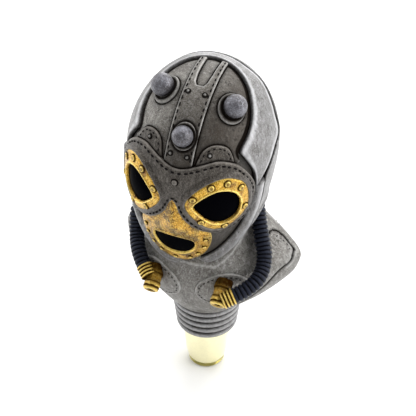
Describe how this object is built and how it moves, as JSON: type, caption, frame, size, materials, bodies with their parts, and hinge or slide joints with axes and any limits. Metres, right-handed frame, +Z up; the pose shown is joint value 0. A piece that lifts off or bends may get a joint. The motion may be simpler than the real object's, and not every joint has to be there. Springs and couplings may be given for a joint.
{
  "type": "figural beer tap handle",
  "caption": "Figural draught tap handle: a masked diver's bust with goggles and breathing hoses, on a tapered brass ferrule that screws onto the tap lever.",
  "frame": {"origin": "centre of the ferrule's lower face, where the threaded bore for the tap lever opens", "axes": "+Z up along the ferrule's axis to the crown, -Y the way the mask faces, +X the figure's left"},
  "size_m": [0.0968, 0.0815, 0.1894],
  "materials": {
    "ferrule_brass": "polished, lacquered brass",
    "zinc_steel": "zinc-plated steel",
    "insert_brass": "as-turned brass",
    "nylon": "natural nylon",
    "pewter": "cast resin, antiqued silver paint with dark wash",
    "pewter_dark": "cast resin, dark brown-black wash",
    "mask_leather": "cast resin painted as worn dark leather",
    "dome_pewter": "cast resin, blue-grey pewter paint",
    "antique_gold": "cast resin, gold paint with brown patina",
    "black_gloss": "gloss black",
    "hose_black": "ribbed, satin black"
  },
  "bodies": {
    "ferrule": {"ferrule": "ferrule_brass"},
    "washer": {"seat_washer": "nylon"},
    "bust": {"hanger_stud": "zinc_steel", "body_insert": "insert_brass", "ribbed_collar": "pewter", "torso": "pewter", "neck": "pewter_dark", "head_core": "pewter_dark", "hood_back": "pewter", "temple_band": "pewter", "chin_rim": "pewter", "forehead_panel": "pewter", "crown_strap": "pewter", "temple_tab_left": "mask_leather", "temple_tab_right": "mask_leather", "eye_mask": "mask_leather", "goggle_rim_left": "antique_gold", "goggle_rim_right": "antique_gold", "goggle_lens_left": "black_gloss", "goggle_lens_right": "black_gloss", "muzzle_plate": "antique_gold", "mouth_screen": "black_gloss", "dome_washer_left": "pewter", "dome_washer_right": "pewter", "dome_washer_front": "pewter", "dome_stud_left": "dome_pewter", "dome_stud_right": "dome_pewter", "dome_stud_front": "dome_pewter", "goggle_screws_left": "antique_gold", "goggle_screws_right": "antique_gold", "strap_rivets": "pewter", "tab_rivets": "pewter", "bridge_rivet": "pewter", "muzzle_rivets": "antique_gold", "breathing_hose_left": "hose_black", "breathing_hose_right": "hose_black", "hose_port_left": "pewter_dark", "hose_port_right": "pewter_dark", "hose_fitting_left": "antique_gold", "hose_fitting_right": "antique_gold", "hose_sleeve_left": "antique_gold", "hose_sleeve_right": "antique_gold", "fitting_cap_left": "antique_gold", "fitting_cap_right": "antique_gold", "chest_patch_left": "pewter", "chest_patch_right": "pewter"}
  },
  "joints": [
    {"name": "bust_turn", "type": "hinge", "parent": "ferrule", "child": "washer", "pos_m": [0, 0, 0.0292], "axis": [0, 0, 1], "range_deg": [0, 2880]},
    {"name": "bust_lift", "type": "slide", "parent": "washer", "child": "bust", "axis": [0, 0, 1], "range_m": [0, 0.0127]}
  ],
  "couplings": [
    {"joint": "bust_lift", "follows": "bust_turn", "m_per_rad": 0.00025266}
  ]
}
